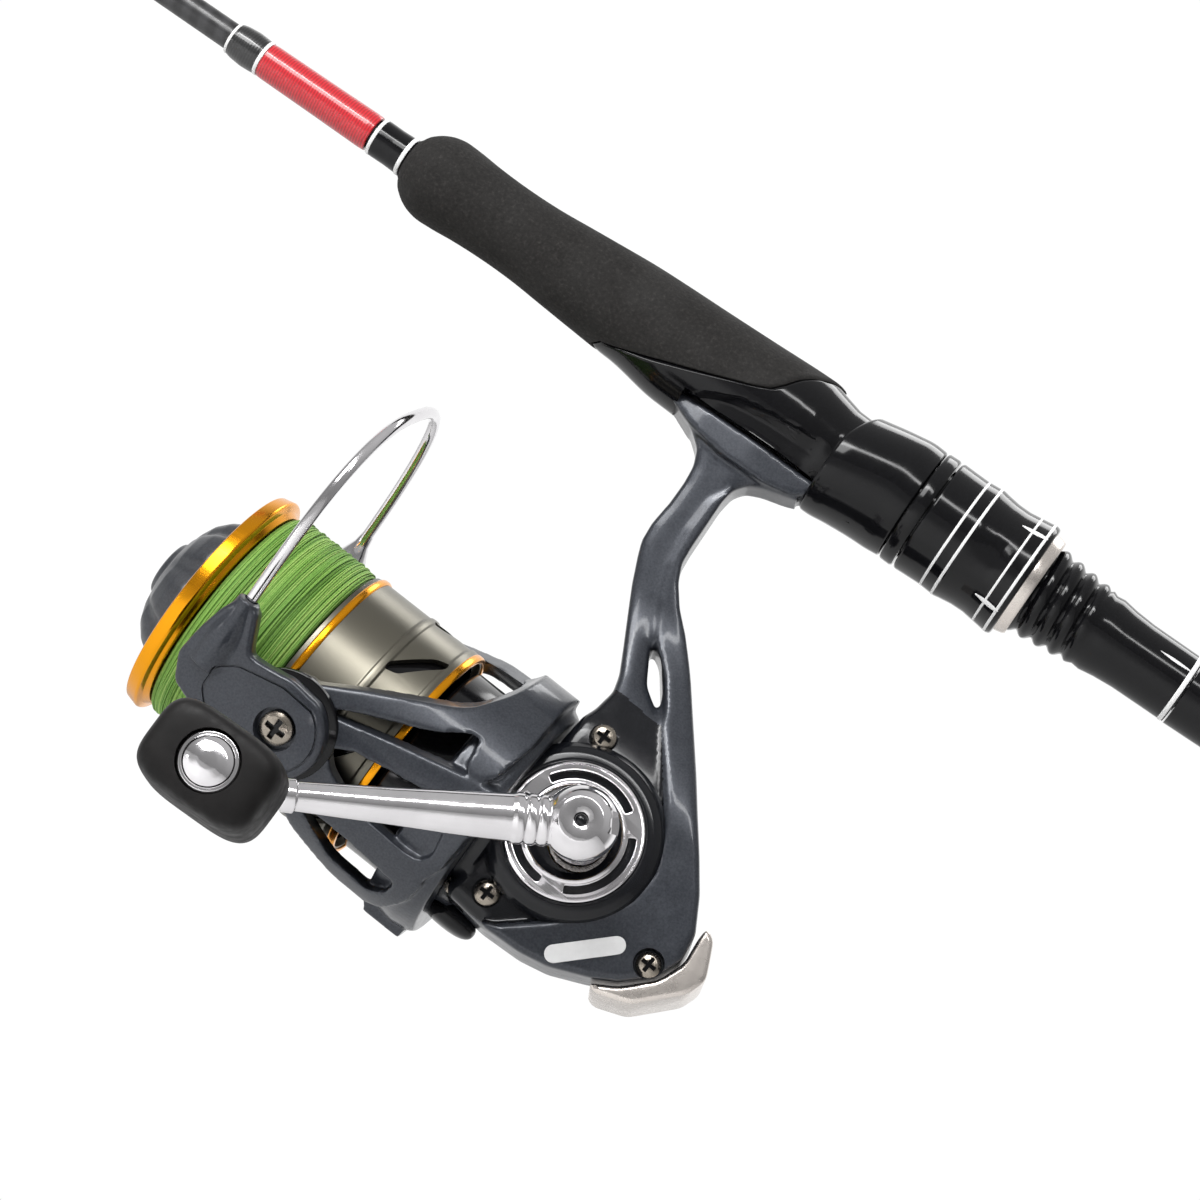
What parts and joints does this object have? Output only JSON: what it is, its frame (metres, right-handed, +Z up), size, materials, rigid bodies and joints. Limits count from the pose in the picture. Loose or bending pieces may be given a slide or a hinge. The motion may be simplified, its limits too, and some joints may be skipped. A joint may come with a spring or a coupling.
{
  "type": "spinning rod and reel",
  "caption": "Two-section spinning fishing rod with foam grips and ring guides, and an open-face reel with a bail, a cranked handle and a line spool on its seat.",
  "frame": {"origin": "centre of the butt cap's flat rear face", "axes": "+X along the rod to its tip, +Z up, the reel hangs below the rod, the handle is on the +Y side"},
  "size_m": [1.6495, 0.1088, 0.1424],
  "materials": {
    "carbon_blank": "matt",
    "eva_foam": "matt foam",
    "gloss_black": "gloss",
    "red_wrap": "gloss",
    "black_rubber": "satin",
    "guide_steel": "satin",
    "guide_ceramic": "polished",
    "body_grey": "satin",
    "pale_metal": "satin",
    "chrome": "polished",
    "steel": "satin",
    "bronze": "satin",
    "spool_grey": "satin",
    "gold_anodised": "anodised",
    "braided_line": "braided",
    "knob_grey": "satin"
  },
  "bodies": {
    "root": {"reel_seat": "gloss_black", "foregrip": "eva_foam", "winding_check": "gloss_black", "decorative_wrap": "red_wrap", "blank_lower": "carbon_blank", "rear_sleeve": "gloss_black", "butt_grip": "eva_foam", "butt_cap": "black_rubber", "guide_frame_1": "guide_steel", "guide_ring_1": "guide_ceramic", "guide_frame_2": "guide_steel", "guide_ring_2": "guide_ceramic", "body_housing": "body_grey", "side_cover": "body_grey", "cover_screw_1": "steel", "cover_screw_2": "steel", "cover_screw_3": "steel", "boss_ring": "chrome", "rear_cover": "pale_metal", "bearing_near": "steel", "bearing_far": "steel", "pinion_bearing": "steel", "one_way_clutch": "bronze"},
    "tip_section": {"blank_tip": "carbon_blank", "guide_frame_3": "guide_steel", "guide_ring_3": "guide_ceramic", "guide_frame_4": "guide_steel", "guide_ring_4": "guide_ceramic", "guide_frame_5": "guide_steel", "guide_ring_5": "guide_ceramic", "tip_top": "guide_steel"},
    "sliding_hood": {"moving_hood": "gloss_black"},
    "locking_nut": {"hood_nut": "gloss_black"},
    "crank": {"drive_gear": "bronze", "handle_shank": "chrome", "handle_arm": "chrome", "knob_shaft": "steel", "handle_screw_cap": "body_grey"},
    "grip_knob": {"handle_knob": "black_rubber", "knob_cap": "chrome"},
    "oscillation_wheel": {"oscillation_gear": "bronze"},
    "rotor_assembly": {"rotor": "body_grey", "pinion_gear": "bronze", "rotor_nut": "steel", "bail_screw_1": "steel", "bail_screw_2": "steel"},
    "bail": {"bail_arm": "body_grey", "roller_arm": "body_grey", "bail_wire": "chrome"},
    "roller": {"line_roller": "steel"},
    "shaft": {"main_shaft": "steel", "oscillation_slider": "steel"},
    "spool_assembly": {"spool": "spool_grey", "spool_lip": "gold_anodised", "line_pack": "braided_line", "drag_washer_rear": "steel", "drag_washer_front": "carbon_blank"},
    "drag_adjuster": {"drag_knob": "knob_grey"},
    "lever": {"anti_reverse_lever": "gloss_black"}
  },
  "joints": [
    {"name": "crank_turn", "type": "hinge", "parent": "root", "child": "crank", "pos_m": [0.28421, 0, -0.08881], "axis": [0, 1, 0], "continuous": true},
    {"name": "rotor_spin", "type": "hinge", "parent": "root", "child": "rotor_assembly", "pos_m": [0.2845, 0, -0.0943], "axis": [0.9986, 0, 0.0523], "continuous": true},
    {"name": "oscillation_turn", "type": "hinge", "parent": "root", "child": "oscillation_wheel", "pos_m": [0.27191, 0, -0.09296], "axis": [0, 1, 0], "continuous": true},
    {"name": "bail_flip", "type": "hinge", "parent": "rotor_assembly", "child": "bail", "pos_m": [0.33743, 0, -0.09153], "axis": [0.0234, 0.8949, -0.4456], "range_deg": [0, 110]},
    {"name": "line_roller_spin", "type": "hinge", "parent": "bail", "child": "roller", "pos_m": [0.35373, -0.02577, -0.0778], "axis": [-0.0468, 0.4462, 0.8937], "continuous": true},
    {"name": "spool_stroke", "type": "slide", "parent": "root", "child": "shaft", "axis": [0.9986, 0, 0.0523], "range_m": [-0.012, 0]},
    {"name": "spool_slip", "type": "hinge", "parent": "shaft", "child": "spool_assembly", "pos_m": [0.2845, 0, -0.0943], "axis": [0.9986, 0, 0.0523], "continuous": true},
    {"name": "drag_knob_turn", "type": "hinge", "parent": "shaft", "child": "drag_adjuster", "pos_m": [0.2845, 0, -0.0943], "axis": [0.9986, 0, 0.0523], "range_deg": [-540, 180]},
    {"name": "grip_knob_turn", "type": "hinge", "parent": "crank", "child": "grip_knob", "pos_m": [0.33633, 0, -0.1205], "axis": [0, 1, 0], "continuous": true},
    {"name": "anti_reverse_turn", "type": "hinge", "parent": "root", "child": "lever", "pos_m": [0.29379, 0, -0.09381], "axis": [-0.0523, 0, 0.9986], "range_deg": [0, 25]},
    {"name": "locking_nut_turn", "type": "hinge", "parent": "sliding_hood", "child": "locking_nut", "pos_m": [0.2678, 0, 0], "axis": [-1, 0, 0], "range_deg": [0, 2070]},
    {"name": "hood_slide", "type": "slide", "parent": "root", "child": "sliding_hood", "axis": [-1, 0, 0], "range_m": [0, 0.0115]},
    {"name": "tip_section_slide", "type": "slide", "parent": "root", "child": "tip_section", "axis": [1, 0, 0], "range_m": [0, 0.055]}
  ],
  "couplings": [
    {"joint": "rotor_spin", "follows": "crank_turn", "ratio": -5},
    {"joint": "oscillation_turn", "follows": "crank_turn", "ratio": -0.54545},
    {"joint": "hood_slide", "follows": "locking_nut_turn", "m_per_rad": 0.00031831}
  ]
}
